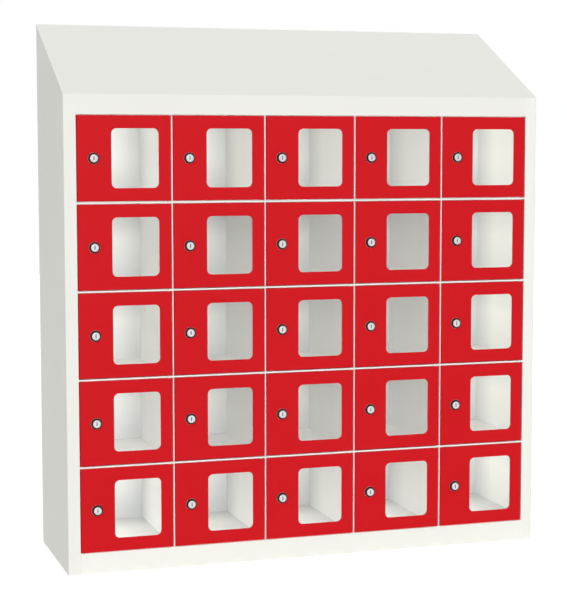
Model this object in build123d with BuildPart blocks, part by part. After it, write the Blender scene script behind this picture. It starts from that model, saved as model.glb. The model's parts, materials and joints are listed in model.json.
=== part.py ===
from build123d import *

import math
import os

# Mini locker for phones: a free-standing sheet-steel carcass with a sloping roof, five columns
# of five compartments, and twenty-five doors with a clear window and a cam lock each.
# Millimetres. +X runs to the right, +Y to the back, +Z up.
# Everything is drawn with y as the depth behind the front face of the carcass, and moved by
# FRONT when it is written, so that the origin lies under the middle of the whole box.

# ---- driving dimensions -------------------------------------------------------------------
CASE_WIDTH = 790.0
CASE_DEPTH = 235.0
FRONT_HEIGHT = 742.0          # floor to the front edge of the roof
ROOF_RISE = 120.0             # the roof climbs this much from front to back
COLUMNS = 5
ROWS = 5
SHEET = 1.2                   # carcass steel
BEND = 2.0                    # outer radius of the corner folds; the others are drawn sharp
STILE = 18.7                  # side of the case to the first cell line
BOTTOM_RAIL = 31.5            # floor to the lowest cell line
TOP_RAIL = 29.5               # highest cell line to the roof edge
NOSE_HEIGHT = 2.4             # folded front edge of a shelf
NOSE_DEPTH = 12.0
PARTITION_SHEET = 1.0
BACK_DEPTH = 226.0            # front face of the case to the back panel
RETURN_DEPTH = 30.0           # how far a stile folds back into the case
REAR_FLANGE = 25.0
CEILING_FLANGE = 15.0
HALVING_DEPTH = 113.0         # shelves and partitions are slotted together up to here
SLOT_PLAY = 0.1

SIDE_GAP = 1.15               # door edge to partition
END_GAP = 1.1                 # door edge to shelf nose
DOOR_DEPTH = 12.0
DOOR_SHEET = 1.0
DOOR_BEVEL = 1.2
WINDOW_WIDTH = 74.4
WINDOW_HEIGHT = 91.4
WINDOW_RADIUS = 8.0
WINDOW_LEFT = 55.3            # cell line to the near edge of the window
PANE_LAP = 5.0                # how far the clear pane reaches past the window
PANE_SHEET = 2.0
RETAINER_LAP = 10.0
RETAINER_SHEET = 1.0

PIVOT_INSET = 4.5             # hinge axis to the right edge of the door
PIVOT_DEPTH = 3.6             # hinge axis behind the front face
ROD_RADIUS = 1.5
ROD_PLAY = 0.05
ROD_TOP = 3.0                 # how far a rod stands out above the ceiling sheet

LOCK_FROM_LINE = 27.6         # cell line to the axis of the lock
LOCK_PROUD = 4.0              # the lock's rim stands this far out of the door
RIM_RADIUS = 9.0
RIM_SIDES = 12                # rim, bore and plug are drawn with flats, to keep 25 locks light
PLUG_SIDES = 8
BARREL_WIDTH = 12.6           # square, so that the housing can't turn in the door
BARREL_END = 14.6
PLUG_RADIUS = 5.5
PLUG_PLAY = 0.06
PLUG_RECESS = 0.4
CAM_FRONT = 15.2
CAM_SHEET = 2.0
CAM_WIDTH = 12.0
CAM_REACH = 24.0
CAM_HEEL = 7.0
CAM_CLIP = 3.0
KEEPER_FRONT = 13.4
KEEPER_SHEET = 1.0
KEEPER_REACH = 9.0            # cell line to the tip of a keeper
KEEPER_HEIGHT = 30.0
KEEPER_LEG = 12.0

# ---- sizes that follow --------------------------------------------------------------------
half_width = CASE_WIDTH / 2
column_pitch = (CASE_WIDTH - 2 * STILE) / COLUMNS
row_pitch = (FRONT_HEIGHT - BOTTOM_RAIL - TOP_RAIL) / ROWS
column_lines = [STILE - half_width + i * column_pitch for i in range(COLUMNS + 1)]
row_lines = [BOTTOM_RAIL + i * row_pitch for i in range(ROWS + 1)]
inner_half = half_width - SHEET
half_partition = PARTITION_SHEET / 2
half_nose = NOSE_HEIGHT / 2
stile_edge = half_width - STILE - half_partition
floor_top = row_lines[0] + half_nose
ceiling_bottom = row_lines[-1] - half_nose
roof_drop = SHEET * math.hypot(CASE_DEPTH, ROOF_RISE) / CASE_DEPTH

door_left = half_partition + SIDE_GAP
door_bottom = half_nose + END_GAP
door_width = column_pitch - 2 * door_left
door_height = row_pitch - 2 * door_bottom
door_middle = (door_left + door_width / 2, row_pitch / 2)
window_middle = (WINDOW_LEFT + WINDOW_WIDTH / 2, row_pitch / 2)
pivot_x = door_left + door_width - PIVOT_INSET
lock_place = (LOCK_FROM_LINE, row_pitch / 2)
rod_hole = 2 * (ROD_RADIUS + ROD_PLAY)
rod_places = [(line + pivot_x, PIVOT_DEPTH) for line in column_lines[:-1]]
bore_flats = 2 * (PLUG_RADIUS + PLUG_PLAY)

FRONT = (LOCK_PROUD - CASE_DEPTH) / 2
to_row_frame = Location((0, FRONT, 0))
roof_underside = Plane(
    origin=(0, 0, FRONT_HEIGHT - roof_drop),
    x_dir=(1, 0, 0),
    z_dir=(0, -ROOF_RISE, CASE_DEPTH),
)

os.makedirs("parts", exist_ok=True)


def write(name, *solids):
    """Writes one node, of one solid or of several that stay separate."""
    moved = [solid.moved(to_row_frame) for solid in solids]
    node = moved[0] if len(moved) == 1 else Compound(children=moved)
    node.label = name
    export_step(node, f"parts/{name}.step")


def folded_sheet(*corners, rounded=()):
    """Draws, in a sketch, the section of a folded sheet: its outer face follows the corners, and
    then the rounded ones, whose folds have a radius."""
    with BuildLine() as section:
        Polyline(*corners)
        if rounded:
            FilletPolyline(corners[-1], *rounded, radius=BEND)
        offset(amount=SHEET, side=Side.RIGHT, kind=Kind.INTERSECTION)
    make_face(section.edges())


def cross_section(depth_from, depth_to, low, high, mode=Mode.ADD):
    """Draws, or cuts, a bar of sheet seen end on in a side-view sketch."""
    with Locations(((depth_from + depth_to) / 2, (low + high) / 2)):
        Rectangle(depth_to - depth_from, high - low, mode=mode)


def notch_for_stiles(height):
    """Takes the front corners off a wide sheet where the folded stiles stand."""
    with BuildSketch(Plane.XY.offset(-height)) as corners:
        for side in (-1, 1):
            with Locations((side * half_width, RETURN_DEPTH / 2)):
                Rectangle(2 * (half_width - stile_edge), RETURN_DEPTH)
    extrude(corners.sketch, amount=2 * height, mode=Mode.SUBTRACT)


def punch_rod_holes(height):
    """Punches the square holes that the hinge rods stand in."""
    with BuildSketch(Plane.XY.offset(height)) as holes:
        with Locations(*rod_places):
            Rectangle(rod_hole, rod_hole)
    extrude(holes.sketch, amount=NOSE_HEIGHT, both=True, mode=Mode.SUBTRACT)


# ---- carcass ------------------------------------------------------------------------------
# A side is one sheet: the stile beside the doors with its return, the side wall, and a flange
# at the back. Its top follows the roof.
with BuildPart() as side_panel_left:
    with BuildSketch(Plane.XY):
        folded_sheet(
            (-stile_edge, RETURN_DEPTH),
            (-stile_edge, 0),
            rounded=[
                (-half_width, 0),
                (-half_width, CASE_DEPTH),
                (REAR_FLANGE - half_width, CASE_DEPTH),
            ],
        )
    extrude(amount=FRONT_HEIGHT + ROOF_RISE)
    split(bisect_by=roof_underside, keep=Keep.BOTTOM)
write("side_panel_left", side_panel_left.part)

with BuildPart() as side_panel_right:
    add(side_panel_left.part.mirror(Plane.YZ))
write("side_panel_right", side_panel_right.part)

# The base is the floor of the lowest compartments and the plinth rail in front of it, which
# stands between the stiles and folds back under itself at the floor.
with BuildPart() as base_plinth:
    with BuildSketch(Plane.YZ):
        folded_sheet(
            (NOSE_DEPTH, 0),
            (0, 0),
            (0, floor_top),
            (BACK_DEPTH, floor_top),
            (BACK_DEPTH, 0),
        )
    extrude(amount=inner_half, both=True)
    notch_for_stiles(FRONT_HEIGHT)
    punch_rod_holes(floor_top)
write("base_plinth", base_plinth.part)

# The head rail folds back at its foot into the ceiling of the top compartments.
with BuildPart() as head_rail:
    with BuildSketch(Plane.YZ):
        folded_sheet(
            (BACK_DEPTH, ceiling_bottom + CEILING_FLANGE),
            (BACK_DEPTH, ceiling_bottom),
            (0, ceiling_bottom),
            (0, FRONT_HEIGHT),
        )
    extrude(amount=inner_half, both=True)
    notch_for_stiles(FRONT_HEIGHT)
    punch_rod_holes(ceiling_bottom)
    split(bisect_by=roof_underside, keep=Keep.BOTTOM)
write("head_rail", head_rail.part)

# The roof lies on the sides, the head rail and the back, with a lip inside the head rail and a
# flange between the rear flanges of the sides.
with BuildPart() as sloping_roof:
    with BuildSketch(Plane.YZ):
        with BuildLine():
            Polyline(
                (0, FRONT_HEIGHT),
                (CASE_DEPTH, FRONT_HEIGHT + ROOF_RISE),
                (CASE_DEPTH, FRONT_HEIGHT + ROOF_RISE - roof_drop),
                (0, FRONT_HEIGHT - roof_drop),
                close=True,
            )
        make_face()
    extrude(amount=half_width, both=True)
    with BuildSketch(Plane.YZ):
        cross_section(SHEET, 2 * SHEET, FRONT_HEIGHT - NOSE_DEPTH, FRONT_HEIGHT)
    extrude(amount=stile_edge, both=True)
    with BuildSketch(Plane.YZ):
        cross_section(
            CASE_DEPTH - SHEET,
            CASE_DEPTH,
            FRONT_HEIGHT + ROOF_RISE - REAR_FLANGE,
            FRONT_HEIGHT + ROOF_RISE - roof_drop,
        )
    extrude(amount=half_width - REAR_FLANGE, both=True)
write("sloping_roof", sloping_roof.part)

# The back stands in from the rear of the case and is folded to reach the rear flanges.
with BuildPart() as back_panel:
    with BuildSketch(Plane.XY):
        folded_sheet(
            (inner_half, CASE_DEPTH - BEND),
            (inner_half, BACK_DEPTH),
            (-inner_half, BACK_DEPTH),
            (-inner_half, CASE_DEPTH - BEND),
        )
    extrude(amount=FRONT_HEIGHT + ROOF_RISE)
    split(bisect_by=roof_underside, keep=Keep.BOTTOM)
write("back_panel", back_panel.part)

# A shelf has a hemmed nose in front, and its rear edge is welded to the back. Its slots open to
# the back and take the rear halves of the partitions.
with BuildPart() as shelf:
    with BuildSketch(Plane.YZ):
        cross_section(0, NOSE_DEPTH, -half_nose, half_nose)
        cross_section(0, BACK_DEPTH, half_nose - SHEET, half_nose)
    extrude(amount=inner_half, both=True)
    slot_length = BACK_DEPTH - HALVING_DEPTH + SLOT_PLAY
    with BuildSketch(Plane.XY.offset(half_nose)):
        for line in column_lines[1:-1]:
            with Locations((line, BACK_DEPTH - slot_length / 2)):
                Rectangle(PARTITION_SHEET + 2 * SLOT_PLAY, slot_length)
    extrude(amount=-NOSE_HEIGHT, mode=Mode.SUBTRACT)
    notch_for_stiles(NOSE_HEIGHT)
    punch_rod_holes(0)
write("shelves", *[shelf.part.moved(Location((0, 0, line))) for line in row_lines[1:-1]])

# A partition is slotted from the front, where the shelves' noses run past it.
with BuildPart() as partition:
    with BuildSketch(Plane.YZ):
        cross_section(0, BACK_DEPTH, floor_top, ceiling_bottom)
        for line in row_lines[1:-1]:
            top = line + half_nose + SLOT_PLAY
            nose_low = line - half_nose - SLOT_PLAY
            sheet_low = line + half_nose - SHEET - SLOT_PLAY
            cross_section(0, NOSE_DEPTH + SLOT_PLAY, nose_low, top, Mode.SUBTRACT)
            cross_section(0, HALVING_DEPTH, sheet_low, top, Mode.SUBTRACT)
    extrude(amount=half_partition, both=True)
write(
    "partitions",
    *[partition.part.moved(Location((line, 0, 0))) for line in column_lines[1:-1]],
)

# Keepers are angle tabs on the left wall of each compartment; the cams turn in behind them.
with BuildPart() as keeper:
    with BuildSketch(Plane.XY.offset(row_pitch / 2 - KEEPER_HEIGHT / 2)):
        with BuildLine():
            back = KEEPER_FRONT + KEEPER_SHEET
            leg = half_partition + KEEPER_SHEET
            Polyline(
                (half_partition, KEEPER_FRONT),
                (KEEPER_REACH, KEEPER_FRONT),
                (KEEPER_REACH, back),
                (leg, back),
                (leg, back + KEEPER_LEG),
                (half_partition, back + KEEPER_LEG),
                close=True,
            )
        make_face()
    extrude(amount=KEEPER_HEIGHT)
cells = [
    (row, column, Location((column_lines[column - 1], 0, row_lines[ROWS - row])))
    for row in range(1, ROWS + 1)
    for column in range(1, COLUMNS + 1)
]
write("lock_keepers", *[keeper.part.moved(place) for _, _, place in cells])

# One rod per column carries its five doors. It stands on the fold of the plinth.
with BuildPart() as hinge_rod:
    with BuildSketch(Plane.XY.offset(SHEET)):
        Circle(ROD_RADIUS)
    extrude(amount=ceiling_bottom + ROD_TOP)
write("hinge_rods", *[hinge_rod.part.moved(Location((x, y, 0))) for x, y in rod_places])

# ---- door, drawn in the cell whose lower left line is the origin ---------------------------
with BuildPart() as leaf:
    with BuildSketch(Plane.XZ):
        with Locations(door_middle):
            Rectangle(door_width, door_height)
    extrude(amount=-DOOR_DEPTH)
    chamfer(leaf.faces().sort_by(Axis.Y)[0].edges(), DOOR_BEVEL)
    with BuildSketch(Plane.XZ.offset(-DOOR_SHEET)):
        with Locations(door_middle):
            Rectangle(door_width - 2 * DOOR_SHEET, door_height - 2 * DOOR_SHEET)
    extrude(amount=-DOOR_DEPTH, mode=Mode.SUBTRACT)
    with BuildSketch(Plane.XZ):
        with Locations(window_middle):
            RectangleRounded(WINDOW_WIDTH, WINDOW_HEIGHT, WINDOW_RADIUS)
        with Locations(lock_place):
            Rectangle(BARREL_WIDTH, BARREL_WIDTH)
    extrude(amount=-DOOR_SHEET, mode=Mode.SUBTRACT)
    with BuildSketch(Plane.XY):
        with Locations((pivot_x, PIVOT_DEPTH)):
            Rectangle(rod_hole, rod_hole)
    extrude(amount=row_pitch, mode=Mode.SUBTRACT)

with BuildPart() as pane:
    with BuildSketch(Plane.XZ.offset(-DOOR_SHEET)):
        with Locations(window_middle):
            Rectangle(WINDOW_WIDTH + 2 * PANE_LAP, WINDOW_HEIGHT + 2 * PANE_LAP)
    extrude(amount=-PANE_SHEET)

with BuildPart() as pane_retainer:
    with BuildSketch(Plane.XZ.offset(-DOOR_SHEET - PANE_SHEET)):
        with Locations(window_middle):
            Rectangle(WINDOW_WIDTH + 2 * RETAINER_LAP, WINDOW_HEIGHT + 2 * RETAINER_LAP)
            Rectangle(WINDOW_WIDTH, WINDOW_HEIGHT, mode=Mode.SUBTRACT)
    extrude(amount=-RETAINER_SHEET)

# The lock's housing has a round rim in front of the door and a square barrel behind it.
with BuildPart() as lock_housing:
    with BuildSketch(Plane.XZ):
        with Locations(lock_place):
            RegularPolygon(RIM_RADIUS, RIM_SIDES, rotation=180 / RIM_SIDES)
    extrude(amount=LOCK_PROUD)
    with BuildSketch(Plane.XZ):
        with Locations(lock_place):
            Rectangle(BARREL_WIDTH, BARREL_WIDTH)
    extrude(amount=-BARREL_END)
    with BuildSketch(Plane.XZ.offset(LOCK_PROUD)):
        with Locations(lock_place):
            RegularPolygon(bore_flats / 2, PLUG_SIDES, major_radius=False)
    extrude(amount=-LOCK_PROUD - BARREL_END, mode=Mode.SUBTRACT)

# ---- lock: the plug that the key turns, and the cam on its end ----------------------------
with BuildPart() as plug:
    with BuildSketch(Plane.XZ.offset(LOCK_PROUD - PLUG_RECESS)):
        with Locations(lock_place):
            RegularPolygon(PLUG_RADIUS, PLUG_SIDES)
    extrude(amount=PLUG_RECESS - LOCK_PROUD - CAM_FRONT)

with BuildPart() as cam:
    with BuildSketch(Plane.XZ.offset(-CAM_FRONT)) as cam_outline:
        with Locations((lock_place[0], lock_place[1] + (CAM_HEEL - CAM_REACH) / 2)):
            Rectangle(CAM_WIDTH, CAM_HEEL + CAM_REACH)
        chamfer(cam_outline.vertices().group_by(Axis.Y)[0], CAM_CLIP)
    extrude(amount=-CAM_SHEET)

for row, column, place in cells:
    door = (leaf, pane, pane_retainer, lock_housing)
    write(f"door_r{row}c{column}", *[piece.part.moved(place) for piece in door])
    write(f"lock_r{row}c{column}", *[piece.part.moved(place) for piece in (plug, cam)])
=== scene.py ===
# %% [markdown]
# # A mini locker for phones
# The real object is a sheet-steel cabinet with a sloping roof and five by five small doors. Each
# door has a clear window and a cam lock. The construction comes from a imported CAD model, which
# holds every size, joint and body. Blender adds what the eye reads as real: paint, rounded folds,
# clear plastic, round locks and their fasteners. Everything is in metres, in the CAD's own frame.
# %% Load the frame
import json
import math

import bmesh
import bpy
from mathutils import Matrix, Vector


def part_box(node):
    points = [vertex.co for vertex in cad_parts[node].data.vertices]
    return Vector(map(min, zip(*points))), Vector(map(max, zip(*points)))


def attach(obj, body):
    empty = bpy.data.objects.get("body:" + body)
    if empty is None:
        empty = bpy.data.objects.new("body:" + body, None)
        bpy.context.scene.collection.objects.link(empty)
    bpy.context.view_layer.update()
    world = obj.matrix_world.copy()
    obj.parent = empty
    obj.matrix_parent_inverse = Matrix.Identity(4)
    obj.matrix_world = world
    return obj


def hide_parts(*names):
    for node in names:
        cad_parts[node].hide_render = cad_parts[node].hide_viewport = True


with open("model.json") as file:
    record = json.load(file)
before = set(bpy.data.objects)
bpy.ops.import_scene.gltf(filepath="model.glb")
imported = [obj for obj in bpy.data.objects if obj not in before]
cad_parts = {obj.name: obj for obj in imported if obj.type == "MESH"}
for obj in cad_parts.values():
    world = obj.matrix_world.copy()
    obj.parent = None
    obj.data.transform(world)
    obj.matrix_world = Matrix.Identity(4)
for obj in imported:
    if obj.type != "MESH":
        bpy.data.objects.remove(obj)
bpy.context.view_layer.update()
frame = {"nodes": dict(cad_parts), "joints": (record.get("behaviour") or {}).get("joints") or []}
MM = 0.001
ROWS = 5
COLUMNS = 5
cells = [f"r{row}c{column}" for row in range(1, ROWS + 1) for column in range(1, COLUMNS + 1)]
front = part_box("side_panel_left")[0].y

# %% [markdown]
# ## The camera
# The locker is seen from its left, a little below the roof, with a long lens, so that its
# uprights stay almost parallel. A camera can be aimed with a constraint, but three angles are
# plainer: how far it turns, how far it looks down, and a hair of roll. The lens is fixed to the
# height of the picture, so the framing doesn't depend on the width.
# %% Camera
CAMERA_PLACE = (-0.8428, -2.5841, 0.6591)
CAMERA_TURN = math.radians(17.904)
CAMERA_DOWN = math.radians(5.147)
CAMERA_ROLL = math.radians(-0.043)
CAMERA_LENS = 99.6
SENSOR_HEIGHT = 36.0

lens = bpy.data.cameras.new("camera")
lens.lens = CAMERA_LENS
lens.sensor_fit = "VERTICAL"
lens.sensor_height = SENSOR_HEIGHT
camera = bpy.data.objects.new("camera", lens)
bpy.context.scene.collection.objects.link(camera)
camera.matrix_world = (
    Matrix.Translation(CAMERA_PLACE)
    @ Matrix.Rotation(-CAMERA_TURN, 4, "Z")
    @ Matrix.Rotation(math.radians(90) - CAMERA_DOWN, 4, "X")
    @ Matrix.Rotation(CAMERA_ROLL, 4, "Z")
)
bpy.context.scene.camera = camera
bpy.context.scene.view_settings.view_transform = "Standard"
print("camera at", [round(value, 3) for value in camera.location])


# %% [markdown]
# ## Helpers for materials
# Colours are written as a painter would find them, as sRGB hex, and one function makes them
# linear for the shader. A second function adds any node with its settings and its links, so that
# each material reads as a short recipe. The third starts a material.
# %% Material helpers
def linear(hex_colour):
    """Turns "#RRGGBB" in sRGB into linear red, green, blue and alpha."""
    channels = [int(hex_colour[i : i + 2], 16) / 255 for i in (1, 3, 5)]
    curve = [c / 12.92 if c <= 0.04045 else ((c + 0.055) / 1.055) ** 2.4 for c in channels]
    return (*curve, 1.0)


def add_node(tree, kind, settings=None, links=None):
    """Adds a node, sets its properties or inputs, and links other nodes' outputs to its inputs."""
    node = tree.nodes.new(kind)
    for name, value in (settings or {}).items():
        if isinstance(name, str) and hasattr(node, name):
            setattr(node, name, value)
        else:
            node.inputs[name].default_value = value
    for name, output in (links or {}).items():
        tree.links.new(output, node.inputs[name])
    return node


def new_material(name):
    """Makes a node material and gives back the material, its tree and its main shader."""
    material = bpy.data.materials.new(name)
    material.use_nodes = True
    return material, material.node_tree, material.node_tree.nodes["Principled BSDF"]


print("mid grey, #808080, is", round(linear("#808080")[0], 3), "in linear light")


# %% [markdown]
# ## Studio
# A product like this is shot in a white cove under large soft lights. Area lamps could stand for
# them, but suns light every compartment alike. The world gives the even part of the light, a
# little more from the front than from behind, and one broad sun, to the left and above, gives the
# front its lead over the side. What the camera, a mirror or a clear pane sees behind the object is
# plain white, by Light Path.
# %% Two helpers for light
def seen_directly(tree):
    """One where a ray comes from the camera, a mirror or a clear pane, and nought elsewhere."""
    path = add_node(tree, "ShaderNodeLightPath")
    mirror = add_node(
        tree,
        "ShaderNodeMath",
        {"operation": "MAXIMUM"},
        {0: path.outputs["Is Glossy Ray"], 1: path.outputs["Is Transmission Ray"]},
    )
    return add_node(
        tree,
        "ShaderNodeMath",
        {"operation": "MAXIMUM"},
        {0: path.outputs["Is Camera Ray"], 1: mirror.outputs[0]},
    ).outputs[0]


def broad_sun(name, came_from, strength, softness):
    """A sun that shines from a direction, as soft as its angle is wide."""
    sun = bpy.data.lights.new(name, "SUN")
    sun.energy = strength
    sun.angle = softness
    lamp = bpy.data.objects.new(name, sun)
    lamp.rotation_euler = Vector(came_from).to_track_quat("Z", "Y").to_euler()
    bpy.context.scene.collection.objects.link(lamp)
    return lamp


# %% [markdown]
# ## World and key light
# The world's strength is a gradient from front to back, so it needs no picture of a sky. Light
# crosses a white compartment many times before it comes back out, so it is followed for more
# bounces than Cycles follows it by default.
# %% World and key light
AMBIENT_FRONT = 0.6
AMBIENT_BACK = 0.4
KEY_STRENGTH = 1.43
KEY_SOFTNESS = math.radians(40)
KEY_FROM = (-0.2, -0.9, 0.38)
DIFFUSE_BOUNCES = 6

world = bpy.data.worlds.new("white_cove")
world.use_nodes = True
tree = world.node_tree
sky = tree.nodes["Background"]
direction = add_node(tree, "ShaderNodeTexCoord").outputs["Generated"]
towards_back = add_node(tree, "ShaderNodeSeparateXYZ", links={"Vector": direction}).outputs["Y"]
ambient = add_node(
    tree,
    "ShaderNodeMapRange",
    {"From Min": -1.0, "To Min": AMBIENT_FRONT, "To Max": AMBIENT_BACK},
    {"Value": towards_back},
)
level = add_node(
    tree,
    "ShaderNodeMix",
    {"data_type": "FLOAT", 3: 1.0},
    {0: seen_directly(tree), 2: ambient.outputs["Result"]},
)
tree.links.new(level.outputs[0], sky.inputs["Strength"])
sky.inputs["Color"].default_value = (1, 1, 1, 1)
bpy.context.scene.world = world
bpy.context.scene.cycles.diffuse_bounces = DIFFUSE_BOUNCES
bpy.context.scene.cycles.max_bounces = 2 * DIFFUSE_BOUNCES

broad_sun("key_softbox", KEY_FROM, KEY_STRENGTH, KEY_SOFTNESS)
print("lit by", world.name, "and a key of", KEY_STRENGTH, "W/m2")

# %% [markdown]
# ## Floor
# The locker stands on seamless paper. A floor that only catches shadows would do, but a real sheet
# also throws light back on the plinth. Light Path again makes it nearly white to the camera, while
# it stays pale grey paper to the object, and it keeps a soft shadow.
# %% Floor
FLOOR_SIZE = 12.0
FLOOR_GLOW = 0.62
PAPER_ROUGHNESS = 0.9

paper, tree, shader = new_material("seamless_paper")
shader.inputs["Base Color"].default_value = linear("#DEDEDC")
shader.inputs["Roughness"].default_value = PAPER_ROUGHNESS
shader.inputs["Emission Color"].default_value = (1, 1, 1, 1)
glow = add_node(
    tree,
    "ShaderNodeMapRange",
    {"To Min": 0.0, "To Max": FLOOR_GLOW},
    {"Value": seen_directly(tree)},
)
tree.links.new(glow.outputs["Result"], shader.inputs["Emission Strength"])

bm = bmesh.new()
bmesh.ops.create_grid(bm, x_segments=1, y_segments=1, size=FLOOR_SIZE / 2)
floor_mesh = bpy.data.meshes.new("floor")
bm.to_mesh(floor_mesh)
bm.free()
floor_mesh.materials.append(paper)
floor = bpy.data.objects.new("floor", floor_mesh)
bpy.context.scene.collection.objects.link(floor)
print("floor of", FLOOR_SIZE, "m")

# %% [markdown]
# ## Fill light for the outer compartments
# The compartments round the edge look paler than those in the middle, as if a little light came
# through the outer sheets. Making the sheets see-through would spoil them. Light linking is
# gentler: each fill lamp names the sheets that it lights and the ones that stand in its way. The
# outer sheets hold none of them back, so that a fill passes them and stops at the first partition
# or shelf. The fills for the floor and the right-hand wall meet only thin things, the hinge rods
# and a few doors' folds.
# %% Fill lamps
FILL_SOFTNESS = math.radians(55)
LATTICE = ("partitions", "shelves")
INNER_SHEETS = (*LATTICE, "back_panel")
FILLS = (
    ("fill_left", (-1, 0, 0), 0.8, ("partitions",), INNER_SHEETS),
    ("fill_top", (-0.6, 0, 0.74), 2.2, ("partitions",), INNER_SHEETS),
    ("fill_bottom", (-0.8, 0, -0.6), 1.7, LATTICE, INNER_SHEETS),
    ("fill_floor", (0, 0, 1), 0.9, ("base_plinth",), ("hinge_rods",)),
    ("fill_right", (-1, 0, 0), 1.6, ("side_panel_right",), ("hinge_rods",)),
    ("fill_back", (-0.1, -1, 0.05), 3.0, ("back_panel",), LATTICE),
)


def sheets(name, members):
    """A collection of CAD nodes that only serves a lamp."""
    group = bpy.data.collections.new(name)
    for member in members:
        group.objects.link(frame["nodes"][member])
    return group


for name, came_from, strength, lit, blocking in FILLS:
    lamp = broad_sun(name, came_from, strength, FILL_SOFTNESS)
    lamp.light_linking.receiver_collection = sheets(name + "_lights", lit)
    lamp.light_linking.blocker_collection = sheets(name + "_meets", blocking)
print("fill lamps:", len(FILLS))

# %% [markdown]
# ## Powder coat
# The carcass and the doors are mild steel with baked polyester powder. The powder melts into an
# even, satin film with a fine orange peel, about a millimetre from bump to bump, and its gloss
# wanders a little over a panel. One function makes every colour: Noise in object space drives
# the bump, and a broad Noise shifts the colour and the gloss by a few percent.
# %% Powder-coat finishes
PEEL_SIZE = 1.6 * MM          # drawn a little coarser than the real film, so that it can show
PEEL_DEPTH = 0.012 * MM
CLOUD_SIZE = 130 * MM
GLOSS_WANDER = 0.04
POWDER_IOR = 1.5
POWDER_SHINE = 0.15           # satin powder mirrors less than its IOR alone would give
CARCASS_GLOSS = 0.45
DOOR_GLOSS = 0.42


def powder_coat(name, thin, thick, gloss):
    """A satin powder film, between the colour where it lies thin and where it lies thick."""
    material, tree, shader = new_material(name)
    place = add_node(tree, "ShaderNodeTexCoord").outputs["Object"]
    peel = add_node(
        tree, "ShaderNodeTexNoise", {"Scale": 1 / PEEL_SIZE, "Detail": 2.0}, {"Vector": place}
    )
    cloud = add_node(
        tree, "ShaderNodeTexNoise", {"Scale": 1 / CLOUD_SIZE, "Detail": 3.0}, {"Vector": place}
    )
    film = add_node(
        tree,
        "ShaderNodeMix",
        {"data_type": "RGBA", 6: linear(thin), 7: linear(thick)},
        {0: cloud.outputs["Fac"]},
    )
    satin = add_node(
        tree,
        "ShaderNodeMapRange",
        {"To Min": gloss - GLOSS_WANDER, "To Max": gloss + GLOSS_WANDER},
        {"Value": cloud.outputs["Fac"]},
    )
    bump = add_node(
        tree,
        "ShaderNodeBump",
        {"Strength": 1.0, "Distance": PEEL_DEPTH},
        {"Height": peel.outputs["Fac"]},
    )
    tree.links.new(film.outputs[2], shader.inputs["Base Color"])
    tree.links.new(satin.outputs["Result"], shader.inputs["Roughness"])
    tree.links.new(bump.outputs["Normal"], shader.inputs["Normal"])
    shader.inputs["IOR"].default_value = POWDER_IOR
    shader.inputs["Specular IOR Level"].default_value = POWDER_SHINE
    return material


# traffic white, satin: reads as a warm, slightly green-grey white
SHELL_WHITE = ("#F6F6F0", "#F2F2EC")
white_coat = powder_coat("traffic_white_powder_coat", *SHELL_WHITE, CARCASS_GLOSS)
# flame red, satin: a strong clean red with almost no orange in it
red_coat = powder_coat("flame_red_powder_coat", "#D50F1B", "#D10B17", DOOR_GLOSS)
print("powder coats:", white_coat.name, red_coat.name)

# %% [markdown]
# ## Painted shade in the deep corners
# The coat is painted greyer towards the back corners of the compartments, as painted shade that
# the lamps alone don't give there. Painting the corners by hand would do, but a ping-pong Math
# node measures the way to the nearest sheet for all of them at once: over a row of equal
# compartments the distance rises and falls like a zigzag. A Compare node spares a slice, such as
# the outside of a panel, where no shade is painted.
# %% Painted shade in corners
CORNER_REACH = 70 * MM
# the grey that painted shade mixes into the coat
PAINTED_SHADE_GREY = "#8A8D8F"


def paint_shade_in_corners(material, shade_depth, neighbours, spared):
    """Paints shade into a coat, as grey near its neighbours, but not in slices that are spared.

    A neighbour is an axis, the place of a sheet, the spacing to the next one and the place where
    the row ends. A spared slice is an axis, its middle and its half-width.
    """
    tree = material.node_tree
    shader = tree.nodes["Principled BSDF"]
    place = add_node(tree, "ShaderNodeTexCoord").outputs["Object"]
    along = add_node(tree, "ShaderNodeSeparateXYZ", links={"Vector": place}).outputs
    spares = [
        add_node(
            tree, "ShaderNodeMath", {"operation": "COMPARE", 1: middle, 2: half}, {0: along[axis]}
        )
        for axis, middle, half in spared
    ]
    seen = shader.inputs["Base Color"].links[0].from_socket
    for axis, sheet, spacing, end in neighbours:
        in_row = add_node(
            tree, "ShaderNodeMath", {"operation": "MINIMUM", 1: end}, {0: along[axis]}
        )
        offset = add_node(
            tree, "ShaderNodeMath", {"operation": "SUBTRACT", 1: sheet}, {0: in_row.outputs[0]}
        )
        away = add_node(
            tree,
            "ShaderNodeMath",
            {"operation": "PINGPONG", 1: spacing / 2},
            {0: offset.outputs[0]},
        )
        for spare in spares:
            away = add_node(
                tree,
                "ShaderNodeMath",
                {"operation": "ADD"},
                {0: away.outputs[0], 1: spare.outputs[0]},
            )
        # the share of the coat's own colour; nearer a sheet the rest is painted shade
        film = add_node(
            tree,
            "ShaderNodeMapRange",
            {"From Max": CORNER_REACH, "To Min": 1 - shade_depth},
            {"Value": away.outputs[0]},
        )
        seen = add_node(
            tree,
            "ShaderNodeMix",
            {"data_type": "RGBA", 6: linear(PAINTED_SHADE_GREY)},
            {0: film.outputs["Result"], 7: seen},
        ).outputs[2]
    tree.links.new(seen, shader.inputs["Base Color"])


print("corners reach", round(CORNER_REACH / MM), "mm")


# %% [markdown]
# ## Where the sheets stand
# The places of the partitions and shelves could be typed in, but they lie midway between
# neighbouring doors, so the frame gives them. A sheet alone on its axis counts as a row whose next
# member is too far away to matter.
# %% Sheets and spared slices
FAR = 10.0
SKIN = 0.6 * MM               # half the thickness of the steel
BEHIND = 10 * MM              # half the depth of the rear flanges, amply
STILE_DEPTH = 32 * MM         # the stile, its return and a little more


def sheet_between(door, next_door, axis):
    """Where the sheet between two neighbouring doors stands, on the x (0) or the z axis (2)."""
    return (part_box(door)[1][axis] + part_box(next_door)[0][axis]) / 2


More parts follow.
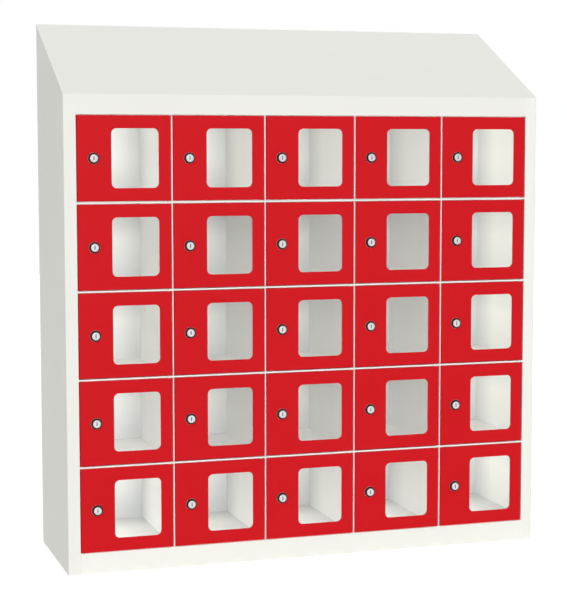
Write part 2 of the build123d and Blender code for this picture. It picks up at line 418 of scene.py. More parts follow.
first_partition = sheet_between("door_r1c1", "door_r1c2", 0)
lowest_shelf = sheet_between("door_r5c1", "door_r4c1", 2)
column_width = sheet_between("door_r1c2", "door_r1c3", 0) - first_partition
row_height = sheet_between("door_r4c1", "door_r3c1", 2) - lowest_shelf
highest_shelf = lowest_shelf + (ROWS - 2) * row_height
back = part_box("back_panel")[0].y
half_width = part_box("side_panel_right")[1].x

back_panel_neighbour = ("Y", back, 2 * (back - front), FAR)
behind_the_back = ("Y", back + BEHIND + SKIN, BEHIND)
right_wall = first_partition + (COLUMNS - 1) * column_width
partition_neighbours = ("X", first_partition, column_width, right_wall)
# the top compartments are open up to the roof, so that nothing above their middle is a corner
shelf_neighbours = ("Z", lowest_shelf, row_height, highest_shelf + row_height / 2)
floor_neighbour = ("Z", lowest_shelf - row_height, FAR, FAR)

stile = ("Y", front, STILE_DEPTH)
outer_faces = [("X", side * half_width, SKIN) for side in (-1, 1)]
middle_rows = ("Z", (lowest_shelf + highest_shelf) / 2, (highest_shelf - lowest_shelf) / 2)
print("compartments", round(column_width / MM, 1), "by", round(row_height / MM, 1), "mm")

# %% [markdown]
# ## Four coats for the inside, with painted shade
# One coat with painted shade for all sheets would also darken faces that lie near a neighbour but
# outside the compartments. So the back, the sides, the floor and the lattice each get their own,
# with their own neighbours and spared slices. Light grows warmer each time it comes back from warm
# white, so the back and the lattice, which see the most of that, start from a more neutral white.
# %% Coats of the inside
INNER_WHITE = ("#F6F6F3", "#F2F2EF")
# how far painted shade greys the coat at a corner
DEEP_PAINTED_SHADE = 0.5
MILD_PAINTED_SHADE = 0.3
FAINT_PAINTED_SHADE = 0.25

# painted shade on the back, greyer towards the sheets round each compartment
back_coat = powder_coat("white_coat_with_painted_shade_on_back", *INNER_WHITE, CARCASS_GLOSS)
round_the_back = (partition_neighbours, shelf_neighbours, floor_neighbour)
paint_shade_in_corners(back_coat, DEEP_PAINTED_SHADE, round_the_back, (behind_the_back,))

# the inner faces of the side panels take painted shade; their outer faces and stiles take none
side_coat = powder_coat("white_coat_with_painted_shade_on_sides", *SHELL_WHITE, CARCASS_GLOSS)
spared_on_sides = (behind_the_back, stile, *outer_faces)
paint_shade_in_corners(side_coat, DEEP_PAINTED_SHADE, (back_panel_neighbour,), spared_on_sides)
paint_shade_in_corners(side_coat, FAINT_PAINTED_SHADE, (shelf_neighbours,), spared_on_sides)

# the floor, which the plinth carries in one piece with its front, with painted shade at corners
floor_coat = powder_coat("white_coat_with_painted_shade_on_floor", *SHELL_WHITE, CARCASS_GLOSS)
paint_shade_in_corners(floor_coat, DEEP_PAINTED_SHADE, (back_panel_neighbour, partition_neighbours), (stile,))

# painted shade on partitions and shelves near the back, in the top and the bottom row only
inner_coat = powder_coat("white_coat_with_painted_shade_inside", *INNER_WHITE, CARCASS_GLOSS)
paint_shade_in_corners(inner_coat, MILD_PAINTED_SHADE, (back_panel_neighbour,), (middle_rows,))
print("coats that thin:", back_coat.name, side_coat.name, floor_coat.name, inner_coat.name)


# %% [markdown]
# ## Metals
# The small parts need five bare or plated metals. Each is metallic, and what tells one from
# another is its tint and how even its shine is. A picture could hold the grain, but a fine noise
# stays sharp at any size. It stands for plating grain or drawing lines, and is stretched along the
# rod where the steel was drawn.
# %% Metal finishes
SHINIEST = 0.8                # the roughness wanders between these shares of itself
DULLEST = 1.25


def metal(name, colour, roughness, grain, metallic=1.0):
    """A metal whose roughness wanders with a grain of the given size in metres, per axis."""
    material, tree, shader = new_material(name)
    place = add_node(tree, "ShaderNodeTexCoord").outputs["Object"]
    stretch = add_node(
        tree, "ShaderNodeMapping", {"Scale": [1 / size for size in grain]}, {"Vector": place}
    )
    noise = add_node(
        tree,
        "ShaderNodeTexNoise",
        {"Scale": 1.0, "Detail": 3.0},
        {"Vector": stretch.outputs["Vector"]},
    )
    wander = add_node(
        tree,
        "ShaderNodeMapRange",
        {"To Min": roughness * SHINIEST, "To Max": roughness * DULLEST},
        {"Value": noise.outputs["Fac"]},
    )
    tree.links.new(wander.outputs["Result"], shader.inputs["Roughness"])
    shader.inputs["Base Color"].default_value = linear(colour)
    shader.inputs["Metallic"].default_value = metallic
    return material


# bright nickel on a zinc die casting: mirror-like with a soft haze
nickel = metal("nickel_plated_zinc", "#D3D4D5", 0.25, (0.5 * MM,) * 3)
# the lock's collar, a deep brown-black with a dull sheen: painted shade and dark reflection of its
# side
collar_painted_dark = metal("zinc_painted_dark_as_shade", "#241F1C", 0.38, (0.8 * MM,) * 3, metallic=0.5)
# the milled key slot: brass painted dark as shade, with the roughness of slightly oily brass
slot_brass_painted_dark = metal("brass_painted_dark_as_shade", "#4A4335", 0.5, (0.4 * MM,) * 3)
# cold-drawn rod: lines run along it
drawn_steel = metal("drawn_steel", "#B9B9B6", 0.32, (0.4 * MM, 0.4 * MM, 12 * MM))
# zinc-plated nuts and screws: pale, faintly blue, a bit cloudy
zinc = metal("zinc_plated_steel", "#C4C8CC", 0.36, (1.5 * MM,) * 3)
print("metals:", nickel.name, collar_painted_dark.name, slot_brass_painted_dark.name, drawn_steel.name, zinc.name)

# %% [markdown]
# ## Nylon
# The hinge bushes are moulded nylon, which is milky because a little light goes in. Subsurface
# scattering would show that in full, but a bush is only five millimetres across. A milky colour
# and a roughness that a fine noise moves slightly are enough.
# %% Nylon
NYLON_IOR = 1.53
NYLON_SHINIEST = 0.4
NYLON_DULLEST = 0.55
MOTTLE_SIZE = 0.7 * MM

nylon, tree, shader = new_material("white_nylon")
shader.inputs["Base Color"].default_value = linear("#E9E7DF")
shader.inputs["IOR"].default_value = NYLON_IOR
mottle = add_node(
    tree,
    "ShaderNodeTexNoise",
    {"Scale": 1 / MOTTLE_SIZE},
    {"Vector": add_node(tree, "ShaderNodeTexCoord").outputs["Object"]},
)
haze = add_node(
    tree,
    "ShaderNodeMapRange",
    {"To Min": NYLON_SHINIEST, "To Max": NYLON_DULLEST},
    {"Value": mottle.outputs["Fac"]},
)
tree.links.new(haze.outputs["Result"], shader.inputs["Roughness"])
print("plastic:", nylon.name)

# %% [markdown]
# ## Clear polycarbonate
# The panes are sawn from extruded sheet. A thin see-through colour could stand for them, but
# Transmission with the plastic's own IOR also gives the faint mirror on their face. A very slight
# waviness, which only a reflection shows, keeps that mirror from looking like polished glass.
# %% Clear polycarbonate
CLEAR_IOR = 1.585
CLEAR_ROUGHNESS = 0.02
WAVE_SIZE = 40 * MM
WAVE_DEPTH = 0.02 * MM

clear, tree, shader = new_material("clear_polycarbonate")
shader.inputs["Base Color"].default_value = linear("#FBFCFB")
shader.inputs["Transmission Weight"].default_value = 1.0
shader.inputs["IOR"].default_value = CLEAR_IOR
shader.inputs["Roughness"].default_value = CLEAR_ROUGHNESS
wave = add_node(
    tree,
    "ShaderNodeTexNoise",
    {"Scale": 1 / WAVE_SIZE},
    {"Vector": add_node(tree, "ShaderNodeTexCoord").outputs["Object"]},
)
ripple = add_node(
    tree,
    "ShaderNodeBump",
    {"Strength": 1.0, "Distance": WAVE_DEPTH},
    {"Height": wave.outputs["Fac"]},
)
tree.links.new(ripple.outputs["Normal"], shader.inputs["Normal"])
print("finishes:", len(bpy.data.materials), "in all")


# %% [markdown]
# ## How a door part is drawn
# Each part of a door is drawn flat, as it would lie on the bench: x runs from the left edge of
# the leaf, y from its bottom edge, and z stands up out of its face. A cube could be carved into a
# plate, but sheet is cut by its outlines, so here it starts from them too: loops of edges that are
# filled in between and then given a thickness.
# %% Outlines and plates
def only(parts, kind):
    """The vertices, the edges or the faces among the parts that an operator gives back."""
    return [part for part in parts if isinstance(part, kind)]


def each_once(parts):
    """Drops repeats and keeps the order."""
    return list(dict.fromkeys(parts))


def sheet_outline(bm, middle, size, radius=0.0, steps=6):
    """Adds a rectangle, with round corners if it has a radius, and gives back its edges."""
    corners = bmesh.ops.create_grid(bm, x_segments=1, y_segments=1, size=0.5)["verts"]
    bmesh.ops.scale(bm, vec=(*size, 1), verts=corners)
    bmesh.ops.translate(bm, vec=(*middle, 0), verts=corners)
    sheet = corners[0].link_faces[0]
    if radius:
        turned = bmesh.ops.bevel(
            bm,
            geom=corners,
            offset=radius,
            segments=steps,
            profile=0.5,
            affect="VERTICES",
            material=-1,
        )
        sheet = turned["verts"][0].link_faces[0]
    edges = list(sheet.edges)
    bmesh.ops.delete(bm, geom=[sheet], context="FACES_ONLY")
    return edges


def circle_outline(bm, radius, place, steps=24):
    """Adds a circle round the origin of a place and gives back its edges."""
    ring = bmesh.ops.create_circle(
        bm, cap_ends=False, segments=steps, radius=radius, matrix=place
    )["verts"]
    return each_once(edge for vert in ring for edge in vert.link_edges)


def fill_between(bm, edges):
    """Fills the flat area between closed loops, so that the inner loops stay open."""
    bmesh.ops.triangle_fill(bm, use_beauty=True, use_dissolve=False, edges=edges)


def thicken(bm, thickness):
    """Makes a plate of a flat drawing, from where it lies down to thickness below it."""
    made = bmesh.ops.extrude_face_region(bm, geom=list(bm.faces), use_keep_orig=True)
    lower = only(made["geom"], bmesh.types.BMVert)
    bmesh.ops.translate(bm, vec=(0, 0, -thickness), verts=lower)
    bmesh.ops.recalc_face_normals(bm, faces=bm.faces)


leaf_low, leaf_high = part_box("door_r1c1")
LEAF_WIDTH = leaf_high.x - leaf_low.x
LEAF_HEIGHT = leaf_high.z - leaf_low.z
print("leaf of", round(LEAF_WIDTH / MM, 2), "by", round(LEAF_HEIGHT / MM, 2), "mm")


# %% [markdown]
# ## Rounded edges
# No real edge is sharp: a fold has a radius, and paint or a file rounds the rest. A Bevel modifier
# would round them all alike. The bevel operator takes chosen edges, so these helpers find edges by
# their angle and by the plane that they lie in.
# %% Edges
FOLD_ANGLE = math.radians(20)
TINY = 1e-6


def is_fold(edge):
    """True where two faces meet at an angle that the eye sees as an edge."""
    return len(edge.link_faces) == 2 and edge.calc_face_angle() > FOLD_ANGLE


def folds_in_plane(bm, axis, level, slack=TINY):
    """The folds whose ends both lie in the plane at a level of the x (0), y (1) or z (2) axis."""
    return [
        edge
        for edge in bm.edges
        if is_fold(edge) and all(abs(vert.co[axis] - level) < slack for vert in edge.verts)
    ]


def round_edges(bm, edges, radius, segments):
    """Rounds edges, as a fold or a coat of paint does."""
    bmesh.ops.bevel(
        bm,
        geom=edges,
        offset=radius,
        segments=segments,
        profile=0.5,
        affect="EDGES",
        material=-1,
        clamp_overlap=True,
    )


print("a fold is sharper than", round(math.degrees(FOLD_ANGLE)), "degrees")


# %% [markdown]
# ## The lathe
# Locks, nuts, studs and bushes are turned parts. Stacked cylinders would leave hidden faces inside
# them. A lathe needs one profile of radii and heights for each part, and spin turns it about an
# axis into one closed skin. The profiles are written in millimetres, as on a drawing.
# %% Lathe
def in_metres(profile):
    """Turns a profile in millimetres into metres."""
    return [(radius * MM, height * MM) for radius, height in profile]


def lathe(bm, profile, place, steps=24, material=0, ring=False):
    """Turns (radius, height) points round the axis of a place. A ring's profile is closed."""
    points = [bm.verts.new((radius, 0, height)) for radius, height in profile]
    pairs = list(zip(points, points[1:]))
    if ring:
        pairs.append((points[-1], points[0]))
    lines = [bm.edges.new(pair) for pair in pairs]
    before = set(bm.faces)
    bmesh.ops.spin(
        bm,
        geom=points + lines,
        cent=(0, 0, 0),
        axis=(0, 0, 1),
        angle=math.tau,
        steps=steps,
        use_merge=True,
    )
    turned = [face for face in bm.faces if face not in before]
    verts = each_once(vert for face in turned for vert in face.verts)
    bmesh.ops.remove_doubles(bm, verts=verts, dist=TINY)
    turned = [face for face in turned if face.is_valid]
    bmesh.ops.recalc_face_normals(bm, faces=turned)
    for face in turned:
        face.material_index = material
    verts = each_once(vert for face in turned for vert in face.verts)
    bmesh.ops.transform(bm, matrix=place, verts=verts)


HEX = 6                       # so few steps turn a hexagon
print("a lathe with", HEX, "steps turns a hex nut")


# %% [markdown]
# ## How a door part is placed
# One matrix stands a drawing up at its cell. The cells could share one mesh and be moved as
# objects, but a finished object here stays at the origin, with its place in its mesh, so every
# cell gets its own copy. Each copy rides on the body of its own door or lock.
# %% Finishing and placing
STAND_UP = Matrix.Rotation(math.radians(90), 4, "X")
SMOOTH_BELOW = math.radians(40)
FAVOUR_LARGE = 100            # large faces set the normals that they share with small ones
SLANTED = Vector((1.0, 31.7, 977.3))


def in_one_order(bm):
    """Sorts a drawing along a slanted line, because spin lists its parts anew in each run."""
    bm.verts.sort(key=lambda vert: vert.co.dot(SLANTED))
    bm.edges.sort(key=lambda edge: (edge.verts[0].co + edge.verts[1].co).dot(SLANTED))
    bm.faces.sort(key=lambda face: face.calc_center_median().dot(SLANTED))


def finish_mesh(bm, name, *materials):
    """Ends a drawing: a mesh that is smooth where its faces turn gently, with its finishes."""
    in_one_order(bm)
    mesh = bpy.data.meshes.new(name)
    bm.to_mesh(mesh)
    bm.free()
    for material in materials:
        mesh.materials.append(material)
    mesh.shade_smooth()
    mesh.set_sharp_from_angle(angle=SMOOTH_BELOW)
    return mesh


def even_shading(piece):
    """Gives large flat faces their own normals, so that only the rounded edges shade smoothly."""
    even = piece.modifiers.new("even_shading", "WEIGHTED_NORMAL")
    even.keep_sharp = True
    even.weight = FAVOUR_LARGE


def put_in_cells(mesh, part, owner):
    """Copies a part to each cell. It rides on that cell's door or lock and stands for its node."""
    pieces = []
    for cell in cells:
        low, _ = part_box(f"door_{cell}")
        copy = mesh.copy()
        copy.transform(Matrix.Translation((low.x, front, low.z)) @ STAND_UP)
        piece = bpy.data.objects.new(f"{part}_{cell}", copy)
        bpy.context.scene.collection.objects.link(piece)
        even_shading(piece)
        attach(piece, f"{owner}_{cell}_body")
        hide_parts(f"{owner}_{cell}")
        pieces.append(piece)
    print(part, "x", len(cells), "with", len(mesh.polygons), "faces each")
    return pieces


def cast_nothing(pieces):
    """Lets light pass pieces that stay in view: they cast no shadow and no tint."""
    for piece in pieces:
        piece.visible_shadow = False
        piece.visible_diffuse = False


print("each part is copied to", len(cells), "cells")

# %% [markdown]
# ## Places on a door
# The window, the lock and the hinge are used by several parts, so their places are worked out
# once. The hinge comes from the frame's own joint, so that the holes and bushes can't drift away
# from the axis that the door turns on.
# %% Places on a door
WINDOW_SIZE = (74.4 * MM, 91.4 * MM)
WINDOW_RADIUS = 8.0 * MM
WINDOW_LEFT = 53.65 * MM
WINDOW_MIDDLE = (WINDOW_LEFT + WINDOW_SIZE[0] / 2, LEAF_HEIGHT / 2)
LOCK_MIDDLE = (25.95 * MM, LEAF_HEIGHT / 2)

lock_axis = Matrix.Translation((*LOCK_MIDDLE, 0))
hinge = next(joint for joint in frame["joints"] if joint["name"] == "door_r1c1_swing")
HINGE_X = hinge["pos_m"][0] - leaf_low.x
HINGE_DEPTH = hinge["pos_m"][1] - front


def on_rod(height, turn):
    """A place on the hinge's axis at a height, turned so that its own axis lies along the rod."""
    return Matrix.Translation((HINGE_X, height, -HINGE_DEPTH)) @ Matrix.Rotation(turn, 4, "X")


print("hinge", round(HINGE_X / MM, 2), "mm from the left,", round(HINGE_DEPTH / MM, 2), "mm deep")

# %% [markdown]
# ## Door leaf: the tray
# A leaf is a shallow tray of one-millimetre steel: the face, with its window and the hole for
# the lock, and four flanges folded back. It could be a box with holes cut by booleans. Filling
# between outlines is cleaner: the rim, the rounded window and the round holes are loops,
# triangle_fill makes the sheet between them, solidify gives it its thickness, and a bevel rounds
# the folds.
# %% Leaf tray
LEAF_SHEET = 1.0 * MM
LEAF_DEPTH = 12.0 * MM
FOLD_RADIUS = 1.2 * MM
PAINTED_EDGE = 0.25 * MM      # powder draws back from a cut edge and leaves it round
LOCK_HOLE = 6.4 * MM
BUSH_RADIUS = 2.3 * MM
SQUARE_ON = 0.9               # a face with this much of its normal on an axis looks along it


def on_rim(point):
    """True on the outer edge of the leaf, where the flanges are folded back."""
    return min(point.x, LEAF_WIDTH - point.x, point.y, LEAF_HEIGHT - point.y) < TINY


tray = bmesh.new()
rim = sheet_outline(tray, (LEAF_WIDTH / 2, LEAF_HEIGHT / 2), (LEAF_WIDTH, LEAF_HEIGHT))
window = sheet_outline(tray, WINDOW_MIDDLE, WINDOW_SIZE, WINDOW_RADIUS)
hole = circle_outline(tray, LOCK_HOLE, lock_axis)
fill_between(tray, rim + window + hole)
folded = bmesh.ops.extrude_edge_only(tray, edges=rim)["geom"]
bmesh.ops.translate(tray, vec=(0, 0, -LEAF_DEPTH), verts=only(folded, bmesh.types.BMVert))

# the top and the bottom flange are filled again, round the hole for the rod's bush
flanges = only(folded, bmesh.types.BMFace)
for flange in [face for face in flanges if abs(face.normal.y) > SQUARE_ON]:
    height = flange.calc_center_median().y
    edges = list(flange.edges)
    tray.faces.remove(flange)
    bush_hole = circle_outline(tray, BUSH_RADIUS, on_rod(height, math.pi / 2), steps=16)
    fill_between(tray, edges + bush_hole)
bmesh.ops.recalc_face_normals(tray, faces=tray.faces)
bmesh.ops.solidify(tray, geom=tray.faces, thickness=LEAF_SHEET)
heights = [vert.co.z / MM for vert in tray.verts]
print("leaf shell from", round(min(heights), 2), "to", round(max(heights), 2), "mm")

in_face = folds_in_plane(tray, 2, 0)
outer = [edge for edge in in_face if any(on_rim(vert.co) for vert in edge.verts)]
round_edges(tray, outer, FOLD_RADIUS, segments=4)
round_edges(tray, folds_in_plane(tray, 2, 0), PAINTED_EDGE, segments=2)

# %% [markdown]
# ## Door leaf: face and folds
# The tray is cut in two just inside its folds. The face casts no shadow and no tint into its
# compartment, which is lit as if its door stood open, so that the phones on the shelves can be
# seen. The folds do keep the light out, so that the gaps round a door stay dark. Both halves are
# painted steel of one thickness, so the cut between them doesn't show.
# %% Face and folds
FOLD_END = 2.0 * MM           # the folded rim, with its flanges, ends this far in


def cut_inside_folds(bm):
    """Cuts a leaf along four lines just inside its folds, and gives back the faces outside them."""
    for line, across in (
        ((FOLD_END, 0, 0), (1, 0, 0)),
        ((LEAF_WIDTH - FOLD_END, 0, 0), (1, 0, 0)),
        ((0, FOLD_END, 0), (0, 1, 0)),
        ((0, LEAF_HEIGHT - FOLD_END, 0), (0, 1, 0)),
    ):
        whole = bm.verts[:] + bm.edges[:] + bm.faces[:]
        bmesh.ops.bisect_plane(bm, geom=whole, dist=TINY, plane_co=line, plane_no=across)
    return [
        face
        for face in bm.faces
        if abs(face.calc_center_median().x - LEAF_WIDTH / 2) > LEAF_WIDTH / 2 - FOLD_END
        or abs(face.calc_center_median().y - LEAF_HEIGHT / 2) > LEAF_HEIGHT / 2 - FOLD_END
    ]


def keep_part(bm, outside):
    """Deletes the folds of a leaf or all but them, and closes the cut with walls."""
    folds = set(cut_inside_folds(bm))
    unwanted = [face for face in bm.faces if (face in folds) != outside]
    bmesh.ops.delete(bm, geom=unwanted, context="FACES")
    rims = [edge for edge in bm.edges if edge.is_boundary]
    bmesh.ops.bridge_loops(bm, edges=rims)
    bmesh.ops.recalc_face_normals(bm, faces=bm.faces)


folds = tray.copy()
keep_part(tray, outside=False)
leaf_mesh = finish_mesh(tray, "door_leaf", red_coat)
cast_nothing(put_in_cells(leaf_mesh, "door_leaf", "door"))
keep_part(folds, outside=True)
fold_mesh = finish_mesh(folds, "door_fold", red_coat)
folded_rims = put_in_cells(fold_mesh, "door_fold", "door")

# the folds also keep the fill out of the gap between a door and the wall beyond it
for name, column in (("fill_left", 1), ("fill_right", COLUMNS)):
    for piece in folded_rims[column - 1 :: COLUMNS]:
        bpy.data.collections[name + "_meets"].objects.link(piece)

# %% [markdown]
# ## Window pane
# The pane is a two-millimetre plate behind the window, five millimetres larger all round. Its
# corners and edges are broken, as on sawn plastic. It casts no shadow, because a real pane hardly
# darkens what lies behind it, while Cycles would treat it as a solid plate.
# %% Window pane
PANE_LAP = 5 * MM
PANE_SHEET = 2 * MM
PANE_CORNER = 3 * MM
SAWN_EDGE = 0.2 * MM

bm = bmesh.new()
size = [side + 2 * PANE_LAP for side in WINDOW_SIZE]
bmesh.ops.contextual_create(bm, geom=sheet_outline(bm, WINDOW_MIDDLE, size, PANE_CORNER))
bmesh.ops.translate(bm, vec=(0, 0, -LEAF_SHEET), verts=bm.verts)
thicken(bm, PANE_SHEET)
round_edges(bm, [edge for edge in bm.edges if is_fold(edge)], SAWN_EDGE, segments=2)
pane_mesh = finish_mesh(bm, "window_pane", clear)
cast_nothing(put_in_cells(pane_mesh, "window_pane", "door"))

# %% [markdown]
# ## Pane retainer
# A steel frame presses the pane to the leaf, held by push nuts on welded studs. Nobody sees the
# studs until the door is open, but that is when a door looks real, so the nuts are turned on the
# lathe too: a domed disc round each stud.
# %% Pane retainer
RETAINER_LAP = 10 * MM
RETAINER_SHEET = 1 * MM
RETAINER_CORNER = 4 * MM
STUD_SPACING = 40 * MM
STUD = [(0, 2.2), (1.25, 2.2), (1.25, 0), (0, 0)]
PUSH_NUT = [
    (1.2, 0.35), (1.5, 0.9), (2.1, 0.95), (3.0, 0.45), (3.4, 0.1), (3.4, 0.0), (1.2, 0.0)
]

bm = bmesh.new()
size = [side + 2 * RETAINER_LAP for side in WINDOW_SIZE]
rim = sheet_outline(bm, WINDOW_MIDDLE, size, RETAINER_CORNER)
fill_between(bm, rim + sheet_outline(bm, WINDOW_MIDDLE, WINDOW_SIZE, WINDOW_RADIUS))
bmesh.ops.translate(bm, vec=(0, 0, -LEAF_SHEET - PANE_SHEET), verts=bm.verts)
thicken(bm, RETAINER_SHEET)
retainer_back = -LEAF_SHEET - PANE_SHEET - RETAINER_SHEET
reach = WINDOW_SIZE[0] / 2 + (PANE_LAP + RETAINER_LAP) / 2
for side in (-1, 1):
    for level in (-1, 0, 1):
        x = WINDOW_MIDDLE[0] + side * reach
        y = WINDOW_MIDDLE[1] + level * STUD_SPACING
        face_down = Matrix.Translation((x, y, retainer_back)) @ Matrix.Rotation(math.pi, 4, "X")
        lathe(bm, in_metres(PUSH_NUT), face_down, steps=16, material=1, ring=True)
        lathe(bm, in_metres(STUD), face_down, steps=12, material=1)
retainer_mesh = finish_mesh(bm, "pane_retainer", red_coat, zinc)
cast_nothing(put_in_cells(retainer_mesh, "pane_retainer", "door"))

# %% [markdown]
# ## Cam lock: collar
# A cam lock is a threaded barrel with a collar, pushed through the leaf from the front and held
# by a hex nut. A plug turns in it and carries the cam on its end. The collar is a cone painted
# nearly black, as painted shade and dark reflection on its sloping side, with the barrel's bright
# nose inside. That dark ring, wider on the side that is nearer to the eye, is what makes a lock
# read at a distance, so it is a ring of its own and not a band painted on the leaf.
# %% Collar
COLLAR = [(6.2, 0.4), (8.85, 0.4), (8.75, 0.9), (7.5, 3.2), (7.1, 3.6), (6.4, 3.75), (6.2, 3.6)]

bm = bmesh.new()
lathe(bm, in_metres(COLLAR), lock_axis, steps=32, ring=True)
# the collar's near-black finish is painted shade and painted reflection
put_in_cells(finish_mesh(bm, "lock_collar", collar_painted_dark), "lock_collar", "door")

# %% [markdown]
# ## Cam lock: barrel
# The barrel's flange shows as a thin bright ring under the collar. Behind the leaf the barrel has
# a thread. A true helix takes many faces, twenty-five times over, so the thread is drawn as a row
# of grooves in the profile, which looks the same at this size.
# %% Barrel
NOSE = [(5.5, 3.4), (5.55, 3.85), (5.65, 3.95), (5.95, 3.95), (6.15, 3.75), (6.15, 0.4)]
FLANGE = [(8.9, 0.4), (9.0, 0.3), (9.0, 0.0), (6.3, 0.0), (6.3, -1.0)]
THREAD_PITCH = 1.0
THREAD_FROM = -1.5
THREAD_CREST = 6.3
THREAD_ROOT = 5.9
GROOVE = (
    (THREAD_CREST, 0.0), (THREAD_CREST, 0.15), (THREAD_ROOT, 0.5), (THREAD_ROOT, 0.65)
)
BARREL_END = -14.6
BORE = 5.5

threads = int((THREAD_FROM - BARREL_END) / THREAD_PITCH)
thread = [
    (radius, THREAD_FROM - (turn + step) * THREAD_PITCH)
    for turn in range(threads)
    for radius, step in GROOVE
]
bm = bmesh.new()
barrel = NOSE + FLANGE + thread + [(THREAD_ROOT, BARREL_END), (BORE, BARREL_END)]
lathe(bm, in_metres(barrel), lock_axis, steps=24, ring=True)
put_in_cells(finish_mesh(bm, "lock_barrel", nickel), "lock_barrel", "door")
print("grooves in the thread:", threads)

# %% [markdown]
# ## Cam lock: nut and washer
# A hex nut with a washer holds the barrel from behind. A hexagonal prism would miss the slanted
# ends of a real nut. Six steps of the same lathe make the hexagon, and two short slopes in the
# profile make its chamfers. The thread runs on behind the nut and stays in view there.
# %% Nut and washer
WASHER = [(6.4, -1.0), (8.6, -1.0), (8.6, -1.5), (6.4, -1.5)]
NUT_ACROSS = 17.0
NUT_CORNER = NUT_ACROSS / 2 / math.cos(math.pi / 6)
NUT_CHAMFER = NUT_CORNER - 0.6
NUT = [
    (6.4, -1.6), (NUT_CHAMFER, -1.6), (NUT_CORNER, -1.9),
    (NUT_CORNER, -4.2), (NUT_CHAMFER, -4.5), (6.4, -4.5),
]

bm = bmesh.new()
lathe(bm, in_metres(WASHER), lock_axis, steps=24, ring=True)
lathe(bm, in_metres(NUT), lock_axis, steps=HEX, ring=True)
put_in_cells(finish_mesh(bm, "lock_nut", zinc), "lock_nut", "door")

# %% [markdown]
# ## Plug
# The plug is what the key turns. Its face has a narrow slot with round ends, three millimetres
# deep and dark inside. A boolean could cut it. Here the slot is an outline in the plug's face, and
# the walls of plug and slot are extruded down from the two outlines. The plug rides on the lock's
# own body, so that it turns inside the barrel while the collar stands still.
# %% Plug
PLUG_RADIUS = 5.42 * MM
PLUG_FACE = 3.6 * MM
PLUG_END = -15.2 * MM
PLUG_EDGE = 0.2 * MM
SLOT_SIZE = (1.2 * MM, 6.4 * MM)
SLOT_DEPTH = 3 * MM

bm = bmesh.new()
edge = circle_outline(bm, PLUG_RADIUS, lock_axis, steps=32)
slot = sheet_outline(bm, LOCK_MIDDLE, SLOT_SIZE, SLOT_SIZE[0] / 2 - TINY)
fill_between(bm, edge + slot)
bmesh.ops.recalc_face_normals(bm, faces=bm.faces)
for outline, depth, material in ((edge, PLUG_FACE - PLUG_END, 0), (slot, SLOT_DEPTH, 1)):
    walls = bmesh.ops.extrude_edge_only(bm, edges=outline)["geom"]
    bmesh.ops.translate(bm, vec=(0, 0, -depth), verts=only(walls, bmesh.types.BMVert))
    end = [e for e in only(walls, bmesh.types.BMEdge) if len(e.link_faces) == 1]
    cap = bmesh.ops.contextual_create(bm, geom=end)["faces"]
    for face in cap + only(walls, bmesh.types.BMFace):
        face.material_index = material
bmesh.ops.recalc_face_normals(bm, faces=bm.faces)
bmesh.ops.translate(bm, vec=(0, 0, PLUG_FACE), verts=bm.verts)
round_edges(bm, folds_in_plane(bm, 2, PLUG_FACE), PLUG_EDGE, segments=2)
put_in_cells(finish_mesh(bm, "lock_plug", nickel, slot_brass_painted_dark), "lock_plug", "lock")

# %% [markdown]
# ## Cam
# The cam is a flat lever with round ends, stamped from two-millimetre steel and held to the end of
# the plug by a hex screw. It hangs down when the lock is open, and turns with the plug.
# %% Cam
CAM_SHEET = 2 * MM
CAM_SIZE = (12 * MM, 31 * MM)
CAM_DROP = 8.5 * MM
CAM_EDGE = 0.25 * MM
SCREW_HEAD = [(0, -17.2), (3.3, -17.2), (3.7, -17.5), (3.7, -18.9), (3.3, -19.2), (0, -19.2)]

bm = bmesh.new()
middle = (LOCK_MIDDLE[0], LOCK_MIDDLE[1] - CAM_DROP)
bmesh.ops.contextual_create(bm, geom=sheet_outline(bm, middle, CAM_SIZE, CAM_SIZE[0] / 2 - TINY))
bmesh.ops.translate(bm, vec=(0, 0, PLUG_END), verts=bm.verts)
thicken(bm, CAM_SHEET)
round_edges(bm, [edge for edge in bm.edges if is_fold(edge)], CAM_EDGE, segments=2)
lathe(bm, in_metres(SCREW_HEAD), lock_axis, steps=HEX)
put_in_cells(finish_mesh(bm, "lock_cam", zinc), "lock_cam", "lock")

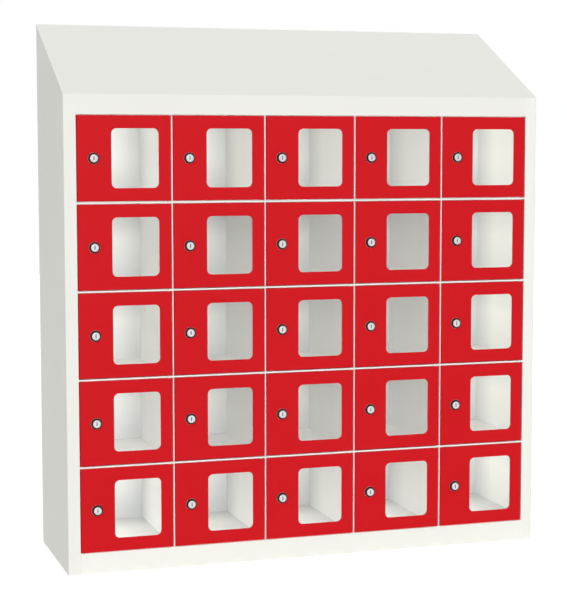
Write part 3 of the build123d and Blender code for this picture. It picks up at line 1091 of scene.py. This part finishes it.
# %% [markdown]
# ## Hinge bushes
# Each door turns on a steel rod that runs the height of its column. Where the rod passes the top
# and bottom flanges, a small nylon bush keeps steel off painted steel. A bush is a short tube
# with a lip inside the door, lathed and then laid along the rod.
# %% Hinge bushes
BUSH = [(1.6, -0.3), (2.25, -0.3), (2.25, 1.0), (2.5, 1.0), (2.5, 1.8), (1.6, 1.8)]

bm = bmesh.new()
for height, turn in ((0, -math.pi / 2), (LEAF_HEIGHT, math.pi / 2)):
    lathe(bm, in_metres(BUSH), on_rod(height, turn), steps=20, ring=True)
put_in_cells(finish_mesh(bm, "hinge_bushes", nylon), "hinge_bushes", "door")

# %% [markdown]
# ## Plinth
# The front of the plinth is pushed in between the two stiles, and a faint upright line shows where
# the sheets meet. Flush sharp edges would show nothing. So a copy of the CAD's mesh is merged, its
# two upright ends are rounded as the paint leaves them, and the copy stands for the node.
# %% Plinth
SEAM_RADIUS = 1.0 * MM
FLUSH = 10 * TINY

bm = bmesh.new()
bm.from_mesh(frame["nodes"]["base_plinth"].data)
bmesh.ops.remove_doubles(bm, verts=bm.verts, dist=TINY)
ends = [
    edge
    for edge in folds_in_plane(bm, 1, front, slack=FLUSH)
    if abs(edge.verts[0].co.x - edge.verts[1].co.x) < TINY
]
round_edges(bm, ends, SEAM_RADIUS, segments=3)
plinth = bpy.data.objects.new("plinth", finish_mesh(bm, "plinth", floor_coat))
bpy.context.scene.collection.objects.link(plinth)
even_shading(plinth)
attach(plinth, "carcass")
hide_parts("base_plinth")
bpy.data.collections["fill_floor_lights"].objects.link(plinth)
print("plinth with", len(ends), "rounded ends")

# %% [markdown]
# ## Carcass
# The carcass is flat folded sheet, and the CAD's own shapes are right, so most of them stay and
# only take their finish. Drawing them again could only add mistakes. The hinge rods are bare
# steel, and everything else is powder coated.
# %% Paint the carcass
FINISHES = {
    "hinge_rods": drawn_steel,
    "back_panel": back_coat,
    "partitions": inner_coat,
    "shelves": inner_coat,
    "side_panel_left": side_coat,
    "side_panel_right": side_coat,
    "base_plinth": floor_coat,
}
for name, node in frame["nodes"].items():
    if not name.startswith(("door_", "lock_r")):
        node.data.materials.clear()
        node.data.materials.append(FINISHES.get(name, white_coat))
        print(name, "in", node.active_material.name)
